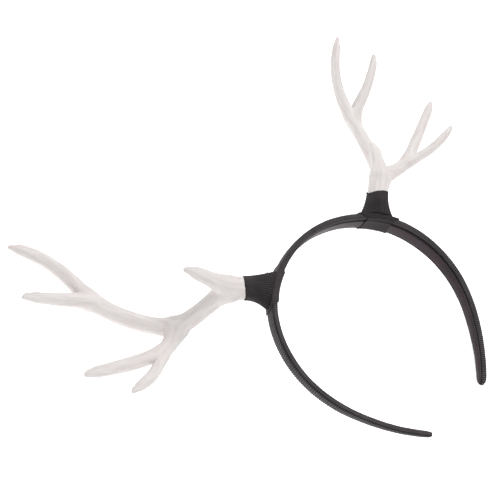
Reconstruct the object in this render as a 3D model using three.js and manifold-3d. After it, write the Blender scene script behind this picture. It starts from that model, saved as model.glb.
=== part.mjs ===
// Reindeer antler headband: a ribbon-covered spring hoop with two moulded antlers in fabric sleeves.
// Millimetres. It is modelled as worn, with X across the head, Y to the back and Z up to the crown,
// and is then laid on its back, where it comes to rest by itself, with +Z up.

import * as THREE from 'three';
import Module from 'manifold-3d';

const wasm = await Module();
wasm.setup();

// Gap between pieces that touch
const gap = 0.3;

// Hoop: a covered plastic strip, narrower and thinner at its ends
const hoopHalfWidth = 64;
const hoopWidth = 10.8;
const hoopEndWidth = 4.8;
const hoopThickness = 3.4;
const hoopEndThickness = 2.9;
const hoopDome = 0.5;
const hoopTipLength = 4;
const hoopStep = 6;

// Below the antlers the strip turns its outer face a little to the back: degrees, and the shares of
// half the hoop's length where the turn begins and is complete
const hoopTwist = 18;
const twistFrom = 0.12;
const twistTo = 0.55;

// The ribbon's edges are folded in to the inner face, the front one much further, and leave a channel
// for the lining: hems as shares of the strip's width
const frontHem = 0.27;
const backHem = 0.08;
const channelDepth = 1.0;
const liningThickness = 1.0;
const liningSetback = 5;

// Centreline of half the hoop: plain arcs from the crown down, radius as a share of half its width
const hoopArcs = [
  { stretch: 'crown', radius: 1.20, sweep: 33 },
  { stretch: 'shoulder', radius: 0.775, sweep: 74.6 },
  { stretch: 'side', radius: 1.03, sweep: 15 },
  { stretch: 'tail', radius: 1.92, sweep: 20.7 },
];

// Rounded tip of the hoop: place along the tip, and width and thickness left there
const tipRows = [
  { along: 0.00, width: 1.00, thickness: 1.00 },
  { along: 0.45, width: 0.94, thickness: 0.96 },
  { along: 0.80, width: 0.72, thickness: 0.84 },
  { along: 1.00, width: 0.40, thickness: 0.60 },
];

// Ribbon wound round the hoop under each antler, longer on the outer face than on the inner
const wrapThickness = 1.0;
const wrapOuterLength = 27;
const wrapInnerLength = 17;
const wrapSteps = 5;

// Sleeve round the foot of the antler, from the wrap to its mouth
const sleeveWall = 1.1;
const sleeveFootLength = 23;
const sleeveFootOverhang = 1.0;
const sleeveSides = 20;
const sleeveRows = [0, 0.1, 0.25, 0.45, 0.7, 0.92, 1];
const sleeveWaist = 0.42;

// Antlers: where they stand, as a share of half the hoop's length
const antlerPlaceShare = 0.273;
const antlerLength = 154;
const beamRadius = 4.0;
const antlerSides = 12;
const footClearance = 0.3;

// How each antler was put on: degrees it leans out, nods to the front and is turned about its stem, its
// size as a share, and the degrees that its soft brow tine is bent from its place in the moulding
const antlerSet = [
  {
    side: 'left', mirror: -1, lean: 28.7, nod: 0, turn: 0, size: 1,
    browBend: { heading: 0, lift: 0 },
  },
  {
    side: 'right', mirror: 1, lean: 14, nod: 12, turn: -21, size: 1.06,
    browBend: { heading: -11, lift: 12 },
  },
];

// Its sleeve: length up the stem, and how much further its mouth comes at the front, and at the side
// away from the crown, than at the middle, as shares of that length
const sleeveSet = {
  left: { length: 17.2, slant: 0.18, tilt: 0.06 },
  right: { length: 17.1, slant: 0.025, tilt: 0.11 },
};

// Branches. Length as a share of the antler's length; heading and lift are the mean direction in degrees,
// towards the crown and to the back; curl and sweep are how far each turns along the branch.
// Radii, at the root, the quarters and the tip, are shares of the beam's radius.
const branches = {
  stem: {
    from: null, length: 0.174, heading: 2, curl: -6, lift: -6, sweep: -6,
    radii: [1.24, 1.30, 1.38, 1.36, 1.56],
  },
  lowBeam: {
    from: 'stem', length: 0.215, heading: -22, curl: 14, lift: 52, sweep: 0,
    radii: [1.54, 1.02, 0.95, 1.01, 1.26],
  },
  highBeam: {
    from: 'lowBeam', length: 0.297, heading: 28.5, curl: 22, lift: 6, sweep: -22,
    radii: [1.18, 0.96, 0.94, 0.93, 1.06],
  },
  topTine: {
    from: 'highBeam', length: 0.311, heading: 26.5, curl: -58, lift: -25, sweep: -4,
    radii: [0.94, 0.78, 0.68, 0.64, 0.46],
  },
  outerTine: {
    from: 'highBeam', length: 0.256, heading: -9.5, curl: 31, lift: -27, sweep: 28,
    radii: [1.04, 0.80, 0.67, 0.57, 0.50],
  },
  rearLink: {
    from: 'lowBeam', length: 0.115, heading: -48, curl: 20, lift: -9, sweep: 5,
    radii: [1.26, 1.14, 0.96, 0.88, 0.92],
  },
  midTine: {
    from: 'rearLink', length: 0.273, heading: -12.5, curl: 5, lift: -10, sweep: -17,
    radii: [0.89, 0.74, 0.71, 0.62, 0.50],
  },
  lowTine: {
    from: 'rearLink', length: 0.220, heading: -42, curl: 39, lift: -21, sweep: 6,
    radii: [0.82, 0.60, 0.57, 0.54, 0.40],
  },
  browTine: {
    from: 'stem', length: 0.138, heading: 26.5, curl: 6, lift: -6.5, sweep: 24,
    radii: [1.46, 1.10, 0.80, 0.74, 0.52],
  },
};

// Tubes that are joined into one antler: the branches each runs through, and how far back in the
// branch before it begins, so that it leaves the fork in a smooth web
const antlerTubes = [
  { run: ['stem', 'lowBeam', 'highBeam', 'topTine'], overlap: 0 },
  { run: ['outerTine'], overlap: 0.25 },
  { run: ['rearLink', 'midTine'], overlap: 0.35 },
  { run: ['lowTine'], overlap: 0.45 },
  { run: ['browTine'], overlap: 0.3 },
];
const stepsPerBranch = 8;
const easeRounds = 3;
const buriedRadius = 0.86;

// Blunt tip of a tine: place along the last stretch and radius left there
const tineTip = [
  { along: 0.5, radius: 0.9 },
  { along: 0.85, radius: 0.66 },
  { along: 1.0, radius: 0.36 },
];

const boneWhite = new THREE.Color(0xe1dcd9);
const ribbonBlack = new THREE.Color(0x3a3839);
const satinBlack = new THREE.Color(0x4b4147);
const wrapBlack = new THREE.Color(0x343233);

const degrees = Math.PI / 180;
const backwards = new THREE.Vector3(0, 1, 0);

const arcLengths = hoopArcs.map((arc) => arc.radius * hoopHalfWidth * arc.sweep * degrees);
const hoopHalfLength = arcLengths.reduce((sum, length) => sum + length, 0);
const antlerPlace = antlerPlaceShare * hoopHalfLength;

// Centreline of the hoop at a length from the crown, right of it when positive, with the direction
// away from the hoop's middle and the strip's own two directions, out and to its back edge
function hoopAt(length) {
  const side = Math.sign(length) || 1;
  let left = Math.abs(length);
  let turned = 0;
  let x = 0;
  let z = 0;
  for (const [index, arc] of hoopArcs.entries()) {
    const radius = arc.radius * hoopHalfWidth;
    const whole = arc.sweep * degrees;
    const last = index === hoopArcs.length - 1;
    const turn = last ? left / radius : Math.min(left / radius, whole);
    x += radius * (Math.sin(turned + turn) - Math.sin(turned));
    z += radius * (Math.cos(turned + turn) - Math.cos(turned));
    turned += turn;
    left -= turn * radius;
    if (left <= 1e-9) {
      break;
    }
  }
  const away = new THREE.Vector3(side * Math.sin(turned), 0, Math.cos(turned));
  const share = THREE.MathUtils.smoothstep(Math.abs(length) / hoopHalfLength, twistFrom, twistTo);
  const twist = share * hoopTwist * degrees;
  return {
    point: new THREE.Vector3(side * x, 0, z),
    away,
    outward: away.clone().multiplyScalar(Math.cos(twist)).addScaledVector(backwards, Math.sin(twist)),
    back: backwards.clone().multiplyScalar(Math.cos(twist)).addScaledVector(away, -Math.sin(twist)),
  };
}

// A point beside the hoop's centreline: so far out from the strip and so far to its back edge
function besideHoop(length, out, across) {
  const { point, outward, back } = hoopAt(length);
  return point.clone().addScaledVector(outward, out).addScaledVector(back, across);
}

function hoopWidthAt(length) {
  const share = Math.abs(length) / hoopHalfLength;
  return THREE.MathUtils.lerp(hoopWidth, hoopEndWidth, share * share);
}

function hoopThicknessAt(length) {
  const share = Math.abs(length) / hoopHalfLength;
  return THREE.MathUtils.lerp(hoopThickness, hoopEndThickness, share * share);
}

// Skins a list of rings; the last ring joins the first, or both ends are capped
function skin(rings, closed) {
  const sides = rings[0].length;
  const places = rings.flat().flatMap((p) => [p.x, p.y, p.z]);
  const faces = [];
  const bands = closed ? rings.length : rings.length - 1;
  for (let i = 0; i < bands; i += 1) {
    const next = (i + 1) % rings.length;
    for (let j = 0; j < sides; j += 1) {
      const k = (j + 1) % sides;
      faces.push(i * sides + j, i * sides + k, next * sides + k);
      faces.push(i * sides + j, next * sides + k, next * sides + j);
    }
  }
  if (!closed) {
    for (const [ring, flip] of [[0, true], [rings.length - 1, false]]) {
      const middle = new THREE.Vector3();
      rings[ring].forEach((p) => middle.addScaledVector(p, 1 / sides));
      const hub = places.length / 3;
      places.push(middle.x, middle.y, middle.z);
      for (let j = 0; j < sides; j += 1) {
        const a = ring * sides + j;
        const b = ring * sides + ((j + 1) % sides);
        faces.push(hub, flip ? b : a, flip ? a : b);
      }
    }
  }
  const geometry = new THREE.BufferGeometry();
  geometry.setAttribute('position', new THREE.Float32BufferAttribute(places, 3));
  geometry.setIndex(faces);
  return facingOut(geometry);
}

// Volume of a closed mesh and the place of its centre, from the corners of its faces
function solidity(geometry) {
  const position = geometry.attributes.position;
  const index = geometry.index.array;
  const corner = [new THREE.Vector3(), new THREE.Vector3(), new THREE.Vector3()];
  const centre = new THREE.Vector3();
  let volume = 0;
  for (let i = 0; i < index.length; i += 3) {
    corner.forEach((c, j) => c.fromBufferAttribute(position, index[i + j]));
    const part = corner[0].dot(corner[1].clone().cross(corner[2])) / 6;
    volume += part;
    corner.forEach((c) => centre.addScaledVector(c, part / 4));
  }
  return { volume, centre: centre.divideScalar(volume) };
}

function facingOut(geometry) {
  if (solidity(geometry).volume < 0) {
    const index = geometry.index.array;
    for (let i = 0; i < index.length; i += 3) {
      [index[i + 1], index[i + 2]] = [index[i + 2], index[i + 1]];
    }
  }
  geometry.computeVertexNormals();
  return geometry;
}

// Section of the covered strip: domed outer face, hems on the inner face and the channel between them
function hoopSection(width, thickness) {
  const half = width / 2;
  const outer = thickness / 2;
  const front = -half * (1 - 2 * frontHem);
  const rear = half * (1 - 2 * backHem);
  const floor = -outer + channelDepth * (thickness / hoopThickness);
  const shoulder = outer - hoopDome;
  return [
    [-half, -outer * 0.55], [-half, shoulder * 0.55], [-half * 0.9, shoulder],
    [-half * 0.5, shoulder + hoopDome * 0.75], [0, outer], [half * 0.5, shoulder + hoopDome * 0.75],
    [half * 0.9, shoulder], [half, shoulder * 0.55], [half, -outer * 0.55],
    [half * 0.94, -outer], [rear, -outer], [rear, floor],
    [front, floor], [front, -outer], [-half * 0.94, -outer],
  ];
}

// Lengths from the crown of the sections between the two ends
function hoopStations(end) {
  const count = 2 * Math.ceil(end / hoopStep) + 1;
  return Array.from({ length: count + 1 }, (_, i) => THREE.MathUtils.lerp(-end, end, i / count));
}

function hoopGeometry() {
  const body = hoopHalfLength - hoopTipLength;
  const rings = hoopStations(body).map((length) => {
    const section = hoopSection(hoopWidthAt(length), hoopThicknessAt(length));
    return section.map(([back, out]) => besideHoop(length, out, back));
  });
  const tip = (side) => tipRows.slice(1).map((row) => {
    const length = side * (body + row.along * hoopTipLength);
    const section = hoopSection(hoopWidthAt(length) * row.width, hoopThicknessAt(length) * row.thickness);
    return section.map(([back, out]) => besideHoop(length, out, back));
  });
  return skin([...tip(-1).reverse(), ...rings, ...tip(1)], false);
}

// The lining lies in the channel and stands a little proud of the hems
function liningSection(length) {
  const half = hoopWidthAt(length) / 2;
  const front = -half * (1 - 2 * frontHem) + gap;
  const rear = half * (1 - 2 * backHem) - gap;
  const thickness = hoopThicknessAt(length);
  const top = -thickness / 2 + channelDepth * (thickness / hoopThickness) - gap;
  const bottom = top - liningThickness;
  const bevel = liningThickness * 0.25;
  return [
    [front, top], [rear, top], [rear, bottom + bevel],
    [rear - bevel, bottom], [front + bevel, bottom], [front, bottom + bevel],
  ];
}

function liningGeometry() {
  const end = hoopHalfLength - hoopTipLength - liningSetback;
  const rings = hoopStations(end).map((length) =>
    liningSection(length).map(([back, out]) => besideHoop(length, out, back)));
  return skin(rings, false);
}

// Outline of a wrap's wall in the hoop's cross-section, one clearance round hoop and lining
function wrapOutline(length, extra) {
  const half = hoopWidthAt(length) / 2 + gap + extra;
  const top = hoopThicknessAt(length) / 2 + gap + extra;
  const lining = Math.min(...liningSection(length).map(([, out]) => out));
  const bottom = lining - gap - extra;
  const middle = (top + bottom) / 2;
  const tall = (top - bottom) / 2;
  const corners = [
    [1, -0.45], [1, 0.45], [0.9, 0.86], [0.5, 1], [0, 1.04], [-0.5, 1], [-0.9, 0.86],
    [-1, 0.45], [-1, -0.45], [-0.92, -0.94], [-0.5, -1], [0.5, -1], [0.92, -0.94],
  ];
  return corners.map(([across, up]) => [half * across, middle + tall * up]);
}

const wrapTop = hoopThickness / 2 + gap + wrapThickness;

function wrapRing(place, share, extra) {
  const outline = wrapOutline(place, extra);
  const outs = outline.map(([, out]) => out);
  const low = Math.min(...outs);
  const high = Math.max(...outs);
  return outline.map(([back, out]) => {
    const reach = THREE.MathUtils.lerp(wrapInnerLength, wrapOuterLength, (out - low) / (high - low)) / 2;
    return besideHoop(place + share * reach, out, back);
  });
}

function wrapGeometry(place) {
  const shares = Array.from({ length: wrapSteps + 1 }, (_, i) => 2 * i / wrapSteps - 1);
  const outside = shares.map((share) => wrapRing(place, share, wrapThickness));
  const inside = shares.map((share) => wrapRing(place, share, 0));
  return skin([...outside, ...inside.reverse()], true);
}

// Where an antler stands, its own axes along the stem, up in its plane and to the back, and the back
// of its sleeve, which isn't turned about the stem with it
function antlerFrame({ side, mirror, lean, nod, turn, size, browBend }) {
  const seat = hoopAt(mirror * antlerPlace);
  const towardsCrown = new THREE.Vector3(-mirror * seat.away.z, 0, mirror * seat.away.x);
  const along = seat.away.clone().multiplyScalar(Math.cos(lean * degrees));
  along.addScaledVector(towardsCrown, -Math.sin(lean * degrees));
  const up = towardsCrown.clone().multiplyScalar(Math.cos(lean * degrees));
  up.addScaledVector(seat.away, Math.sin(lean * degrees));
  const back = backwards.clone();
  const nodding = new THREE.Quaternion().setFromAxisAngle(new THREE.Vector3(1, 0, 0), nod * degrees);
  [along, up, back].forEach((axis) => axis.applyQuaternion(nodding));
  const sleeveBack = back.clone();
  const turning = new THREE.Quaternion().setFromAxisAngle(along, mirror * turn * degrees);
  [up, back].forEach((axis) => axis.applyQuaternion(turning));
  return {
    seat: seat.point,
    outward: seat.outward,
    across: seat.back,
    towardsCrown,
    along,
    up,
    back,
    sleeveBack,
    size,
    browBend,
    sleeve: sleeveSet[side],
  };
}

// Centreline points of one branch, from its root
function branchPoints(frame, branch, root, bend) {
  const points = [root.clone()];
  const step = branch.length * antlerLength * frame.size / stepsPerBranch;
  for (let i = 0; i < stepsPerBranch; i += 1) {
    const share = (i + 0.5) / stepsPerBranch - 0.5;
    const heading = (branch.heading + bend.heading + branch.curl * share) * degrees;
    const lift = (branch.lift + bend.lift + branch.sweep * share) * degrees;
    const next = points[i].clone();
    next.addScaledVector(frame.along, step * Math.cos(lift) * Math.cos(heading));
    next.addScaledVector(frame.up, step * Math.cos(lift) * Math.sin(heading));
    next.addScaledVector(frame.back, step * Math.sin(lift));
    points.push(next);
  }
  return points;
}

function branchRadius(branch, share) {
  const place = share * (branch.radii.length - 1);
  const low = Math.min(Math.floor(place), branch.radii.length - 2);
  return beamRadius * THREE.MathUtils.lerp(branch.radii[low], branch.radii[low + 1], place - low);
}

// Moves each point inside a run towards its neighbours, so that branches meet without a corner
function ease(points, rounds) {
  let eased = points;
  for (let round = 0; round < rounds; round += 1) {
    eased = eased.map((p, i) => {
      if (i === 0 || i === eased.length - 1) {
        return p;
      }
      const beside = eased[i - 1].clone().add(eased[i + 1]).multiplyScalar(0.25);
      return beside.addScaledVector(p, 0.5);
    });
  }
  return eased;
}

// Rings square to a path, turned as little as possible from one to the next
function tubeRings(points, radii, sides, startAcross) {
  let across = startAcross.clone();
  return points.map((point, i) => {
    const before = points[Math.max(i - 1, 0)];
    const after = points[Math.min(i + 1, points.length - 1)];
    const ahead = after.clone().sub(before).normalize();
    across = across.clone().addScaledVector(ahead, -across.dot(ahead)).normalize();
    const other = ahead.clone().cross(across);
    return Array.from({ length: sides }, (_, j) => {
      const angle = 2 * Math.PI * j / sides;
      return point.clone().addScaledVector(across, radii[i] * Math.cos(angle))
        .addScaledVector(other, radii[i] * Math.sin(angle));
    });
  });
}

function antlerPaths(frame) {
  const paths = {};
  for (const [name, branch] of Object.entries(branches)) {
    const root = branch.from ? paths[branch.from][stepsPerBranch] : frame.seat;
    const bend = name === 'browTine' ? frame.browBend : { heading: 0, lift: 0 };
    paths[name] = branchPoints(frame, branch, root, bend);
  }
  return paths;
}

// Centreline and radii of one tube, eased where its branches meet
function tubePath(paths, tube) {
  const points = [];
  const radii = [];
  const first = branches[tube.run[0]];
  const before = Math.round(tube.overlap * stepsPerBranch);
  for (let i = stepsPerBranch - before; i < stepsPerBranch; i += 1) {
    points.push(paths[first.from][i]);
    const around = branchRadius(branches[first.from], i / stepsPerBranch);
    radii.push(Math.min(branchRadius(first, 0), around) * buriedRadius);
  }
  for (const [order, name] of tube.run.entries()) {
    paths[name].forEach((p, i) => {
      if (i > 0 || order === 0) {
        points.push(p);
        radii.push(branchRadius(branches[name], i / stepsPerBranch));
      }
    });
  }
  return { points: ease(points, easeRounds), radii };
}

function antlerTube(frame, paths, tube) {
  const { points, radii } = tubePath(paths, tube);
  const last = points.length - 1;
  const end = points[last];
  const ahead = end.clone().sub(points[last - 1]).normalize();
  const tipRadius = radii[last];
  for (const row of tineTip) {
    points.push(end.clone().addScaledVector(ahead, row.along * tipRadius));
    radii.push(tipRadius * row.radius);
  }
  const rings = tubeRings(points, radii, antlerSides, frame.back);
  return skin(tube.overlap === 0 ? seatFoot(rings, frame) : rings, false);
}

// Slides the foot of the stem along itself until it is one clearance off the wrap's outer face
function seatFoot(rings, frame) {
  const height = wrapTop + footClearance;
  const slope = frame.along.dot(frame.outward);
  rings.forEach((ring) => ring.forEach((p) => {
    const lack = height - p.clone().sub(frame.seat).dot(frame.outward);
    if (lack > 0) {
      p.addScaledVector(frame.along, lack / slope);
    }
  }));
  return rings.filter((ring, i) => i === 0 || ring.every((p, j) => p.distanceTo(rings[i - 1][j]) > 0.2));
}

function toManifold(geometry) {
  return new wasm.Manifold(new wasm.Mesh({
    numProp: 3,
    vertProperties: Float32Array.from(geometry.attributes.position.array),
    triVerts: Uint32Array.from(geometry.index.array),
  }));
}

function fromManifold(solid) {
  const mesh = solid.getMesh();
  const geometry = new THREE.BufferGeometry();
  geometry.setAttribute('position', new THREE.BufferAttribute(mesh.vertProperties, 3));
  geometry.setIndex(new THREE.BufferAttribute(mesh.triVerts, 1));
  return facingOut(geometry);
}

function antlerGeometry(frame, paths) {
  const tubes = antlerTubes.map((tube) => toManifold(antlerTube(frame, paths, tube)));
  return fromManifold(tubes.reduce((whole, tube) => whole.add(tube)));
}

// Where the sleeve's mouth crosses the stem, the stem's direction there and its radius
function sleeveMouth(frame, paths) {
  const { points, radii } = tubePath(paths, antlerTubes[0]);
  const { length, slant, tilt } = frame.sleeve;
  const next = points.findIndex((p) => p.distanceTo(frame.seat) > length);
  const step = points[next].clone().sub(points[next - 1]);
  const share = (length - points[next - 1].distanceTo(frame.seat)) / step.length();
  return {
    point: points[next - 1].clone().addScaledVector(step, share),
    direction: step.normalize(),
    radius: Math.max(...radii.slice(next - 1, next + 2)),
    slant: slant * length,
    tilt: tilt * length,
  };
}

// The sleeve's foot lies along the wrap and its mouth is square to the stem; it flares between them
function sleeveGeometry(frame, paths, place) {
  const mouth = sleeveMouth(frame, paths);
  const clear = (mouth.radius + gap) / Math.cos(Math.PI / sleeveSides);
  const inner = sleeveWallRings(frame, place, mouth, clear, 0);
  const outer = sleeveWallRings(frame, place, mouth, clear, sleeveWall);
  return skin([...outer, ...inner.reverse()], true);
}

// Rings of one face of the sleeve's wall, an extra distance out from its inner face
function sleeveWallRings(frame, place, mouth, clear, extra) {
  const slope = frame.sleeveBack.dot(mouth.direction);
  const across = frame.sleeveBack.clone().addScaledVector(mouth.direction, -slope).normalize();
  const along = across.clone().cross(mouth.direction).normalize();
  const lengthwise = Math.sign(along.dot(frame.towardsCrown));
  const footHalf = sleeveFootLength / 2 - sleeveWall + extra;
  const footAcross = hoopWidthAt(place) / 2 + gap + wrapThickness + sleeveFootOverhang - sleeveWall + extra;
  const height = wrapTop + gap;
  const crossing = frame.along.clone().multiplyScalar(height / frame.along.dot(frame.outward));
  const footPlace = place - Math.sign(place) * crossing.dot(frame.towardsCrown);
  return sleeveRows.map((share) => Array.from({ length: sleeveSides }, (_, j) => {
    const angle = 2 * Math.PI * j / sleeveSides;
    const long = Math.cos(angle);
    const wide = Math.sin(angle);
    const beyond = footPlace - Math.sign(place) * footHalf * long;
    const foot = besideHoop(beyond, height, crossing.dot(frame.across) + footAcross * wide);
    const rim = mouth.point.clone().addScaledVector(along, lengthwise * (clear + extra) * long);
    rim.addScaledVector(across, (clear + extra) * wide);
    rim.addScaledVector(mouth.direction, -mouth.slant * wide - mouth.tilt * long);
    const waist = rim.clone().addScaledVector(mouth.direction, -frame.sleeve.length * sleeveWaist);
    return new THREE.QuadraticBezierCurve3(foot, waist, rim).getPoint(share);
  }));
}

// The plane that carries the object when it lies down: three lowest points round its centre
function restingPlane(points, centre) {
  const far = 1e5;
  let support = [[-far, -far], [far, -far], [0, far]].map(([x, y]) => new THREE.Vector3(x, y, far));
  const plane = new THREE.Plane();
  const upright = (three) => {
    plane.setFromCoplanarPoints(...three);
    if (plane.normal.z < 0) {
      plane.negate();
    }
    return plane;
  };
  const holds = ([a, b, c]) => {
    const turn = (p, q) => (q.x - p.x) * (centre.y - p.y) - (q.y - p.y) * (centre.x - p.x);
    const turns = [turn(a, b), turn(b, c), turn(c, a)];
    return turns.every((t) => t >= 0) || turns.every((t) => t <= 0);
  };
  for (let round = 0; round < 100; round += 1) {
    upright(support);
    let lowest = null;
    let depth = -1e-4;
    for (const point of points) {
      const height = plane.distanceToPoint(point);
      if (height < depth) {
        depth = height;
        lowest = point;
      }
    }
    if (!lowest) {
      break;
    }
    support = [0, 1, 2].map((i) => support.map((p, j) => (i === j ? lowest : p))).find(holds);
  }
  return upright(support).normal.clone();
}

// Lays the worn model on its back and turns it until three of its points carry it
function layDown(worn) {
  worn.rotation.x = -Math.PI / 2;
  worn.updateMatrixWorld(true);
  const points = [];
  const centre = new THREE.Vector3();
  let volume = 0;
  worn.traverse((piece) => {
    if (!piece.isMesh) {
      return;
    }
    const bulk = solidity(piece.geometry);
    centre.addScaledVector(bulk.centre.applyMatrix4(piece.matrixWorld), bulk.volume);
    volume += bulk.volume;
    const position = piece.geometry.attributes.position;
    for (let i = 0; i < position.count; i += 1) {
      points.push(new THREE.Vector3().fromBufferAttribute(position, i).applyMatrix4(piece.matrixWorld));
    }
  });
  const normal = restingPlane(points, centre.divideScalar(volume));
  const laid = new THREE.Group();
  laid.add(worn);
  laid.quaternion.setFromUnitVectors(normal, new THREE.Vector3(0, 0, 1));
  laid.updateMatrixWorld(true);
  const box = new THREE.Box3();
  points.forEach((point) => box.expandByPoint(point.applyQuaternion(laid.quaternion)));
  laid.position.set(-(box.min.x + box.max.x) / 2, -(box.min.y + box.max.y) / 2, -box.min.z);
  return laid;
}

function piece(name, geometry, color, roughness) {
  const material = new THREE.MeshStandardMaterial({ color, roughness, metalness: 0 });
  const mesh = new THREE.Mesh(geometry, material);
  mesh.name = name;
  return mesh;
}

const worn = new THREE.Group();
worn.add(piece('hoop', hoopGeometry(), ribbonBlack, 0.85));
worn.add(piece('hoop_lining', liningGeometry(), satinBlack, 0.5));
for (const antler of antlerSet) {
  const frame = antlerFrame(antler);
  const paths = antlerPaths(frame);
  const place = antler.mirror * antlerPlace;
  worn.add(piece(`band_wrap_${antler.side}`, wrapGeometry(place), wrapBlack, 0.9));
  worn.add(piece(`socket_${antler.side}`, sleeveGeometry(frame, paths, place), ribbonBlack, 0.9));
  worn.add(piece(`antler_${antler.side}`, antlerGeometry(frame, paths), boneWhite, 0.6));
}

export default layDown(worn);
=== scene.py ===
import math
import bpy
import numpy as np
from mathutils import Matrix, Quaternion, Vector


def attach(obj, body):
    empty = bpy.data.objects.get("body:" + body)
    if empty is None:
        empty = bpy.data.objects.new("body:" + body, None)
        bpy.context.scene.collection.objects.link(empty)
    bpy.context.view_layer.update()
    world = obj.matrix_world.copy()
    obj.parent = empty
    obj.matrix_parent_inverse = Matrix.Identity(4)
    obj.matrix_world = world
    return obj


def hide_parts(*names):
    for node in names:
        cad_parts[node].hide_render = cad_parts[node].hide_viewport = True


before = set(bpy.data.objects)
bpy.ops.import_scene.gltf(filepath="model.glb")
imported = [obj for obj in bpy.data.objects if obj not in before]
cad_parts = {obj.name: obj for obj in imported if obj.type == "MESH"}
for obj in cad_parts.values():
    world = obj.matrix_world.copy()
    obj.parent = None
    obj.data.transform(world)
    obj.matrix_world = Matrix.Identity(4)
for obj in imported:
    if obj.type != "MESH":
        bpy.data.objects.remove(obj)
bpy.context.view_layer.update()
print("frame loaded")

millimetre = 0.001

# The headband is drawn as worn, in mm, and laid on its back as the CAD part is
laidTurn = np.array(Quaternion((0.764154, -0.644532, 0.017998, 0.017998)).to_matrix())
laidShift = np.array([1.3631, 10.1836, 23.1906])


def laidFlat(points):
    # from the place as worn to the place on its back, in mm
    return points @ laidTurn.T + laidShift


def lay(points):
    # the same in metres
    return laidFlat(points) * millimetre


def unit(vectors):
    return vectors / np.linalg.norm(vectors, axis=-1, keepdims=True)


def dots(first, second):
    # scalar products row by row
    return np.einsum("ij,ij->i", first, second)


def smoothStep(value, start, end):
    t = np.clip((value - start) / (end - start), 0, 1)
    return t * t * (3 - 2 * t)


unevenness = {"octaves": 5, "fade": 0.65, "quicken": 1.9, "phase": 6.28, "spread": 2.2}


def waver(place, seed):
    # slow, seeded unevenness between about -1 and 1
    rng = np.random.default_rng(seed)
    total = np.zeros_like(place, dtype=float)
    for octave in range(unevenness["octaves"]):
        height = math.pow(unevenness["fade"], octave)
        speed = math.pow(unevenness["quicken"], octave)
        total += height * np.sin(place * speed + rng.uniform(0, unevenness["phase"]))
    return total / unevenness["spread"]


# Meshes

def storeMarks(mesh, marks):
    # keeps a number or a vector at each vertex, for the materials to read
    for label, values in marks.items():
        kind = "FLOAT" if values.ndim == 1 else "FLOAT_VECTOR"
        layer = mesh.attributes.new(label, kind, "POINT")
        layer.data.foreach_set("value" if kind == "FLOAT" else "vector", values.astype(np.float32).ravel())


def meshObject(name, points, faces, material, marks=None):
    mesh = bpy.data.meshes.new(name)
    mesh.from_pydata(points.tolist(), [], faces)
    mesh.shade_smooth()
    mesh.materials.append(material)
    storeMarks(mesh, marks or {})
    mesh.update()
    obj = bpy.data.objects.new(name, mesh)
    bpy.context.scene.collection.objects.link(obj)
    return obj


def gridFaces(rows, columns, loopRows, capEnds, start=0):
    # quads over a grid whose rows close on themselves; the ends are joined or capped
    faces = []
    for i in range(rows if loopRows else rows - 1):
        below = start + i * columns
        above = start + ((i + 1) % rows) * columns
        for j in range(columns):
            k = (j + 1) % columns
            faces.append((below + j, below + k, above + k, above + j))
    if capEnds:
        faces.append(tuple(start + j for j in reversed(range(columns))))
        faces.append(tuple(start + (rows - 1) * columns + j for j in range(columns)))
    return faces


def faceOutward(obj):
    # turns the faces outward where a closed mesh came out inside out
    mesh = obj.data
    mesh.calc_loop_triangles()
    corners = np.array([v.co for v in mesh.vertices])
    index = np.array([t.vertices for t in mesh.loop_triangles])
    a, b, c = corners[index[:, 0]], corners[index[:, 1]], corners[index[:, 2]]
    if dots(a, np.cross(b, c)).sum() < 0:
        mesh.flip_normals()
    return obj


def cutCorners(rings, rounds):
    # rounds the corners of closed rings of points
    for _ in range(rounds):
        ahead = np.roll(rings, -1, axis=1)
        both = np.stack([rings * 0.75 + ahead * 0.25, rings * 0.25 + ahead * 0.75], axis=2)
        rings = both.reshape(rings.shape[0], -1, rings.shape[2])
    return rings


def ringNormals(rings):
    # outward normals in the plane of each ring of (across, out) points
    along = np.roll(rings, -1, axis=1) - np.roll(rings, 1, axis=1)
    normal = np.stack([-along[..., 1], along[..., 0]], axis=-1)
    return unit(normal + 1e-9)


# Hoop

hoopShape = {
    "halfWidth": 64, "width": 10.8, "endWidth": 4.8, "thickness": 3.4, "endThickness": 2.9,
    "dome": 0.5, "tipLength": 4, "frontHem": 0.27, "backHem": 0.08, "channelDepth": 1.0,
    "arcs": [(1.20, 33), (0.775, 74.6), (1.03, 15), (1.92, 20.7)],  # radius share, degrees
    "twist": 18, "twistFrom": 0.12, "twistTo": 0.55,  # degrees, and shares of the way to the end
    # share of the way through the tip, with the shares of width and thickness left there
    "tip": [(0.0, 1.0, 1.0), (0.45, 0.94, 0.96), (0.8, 0.72, 0.84), (1.0, 0.40, 0.60)],
    "ribPitch": 1.15, "ribHeight": 0.27, "ribSlant": 0.05, "ribMiddle": 0.6, "ribPower": 1.6,
    "samplesPerRib": 6, "ribWander": 0.12, "wanderLength": 7, "lumps": 0.05, "lumpLength": 5,
    # columns of the section, how flat they are and how much painted shade they get where the left arm is
    # pressed
    "fold": [28, 29, 0, 1], "crease": [2, 3], "channel": [20, 21, 22, 23, 24, 25],
    "pressedFrom": 0.3, "pressedTo": 0.4, "foldFlat": 0.75, "foldPaintedShade": 0.28, "creasePaintedShade": 0.6,
    "channelEnd": 0.6, "channelEndFrom": 0.6, "channelEndTo": 0.8,
}
arcLengths = [share * hoopShape["halfWidth"] * math.radians(sweep) for share, sweep in hoopShape["arcs"]]
hoopHalfLength = sum(arcLengths)


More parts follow.
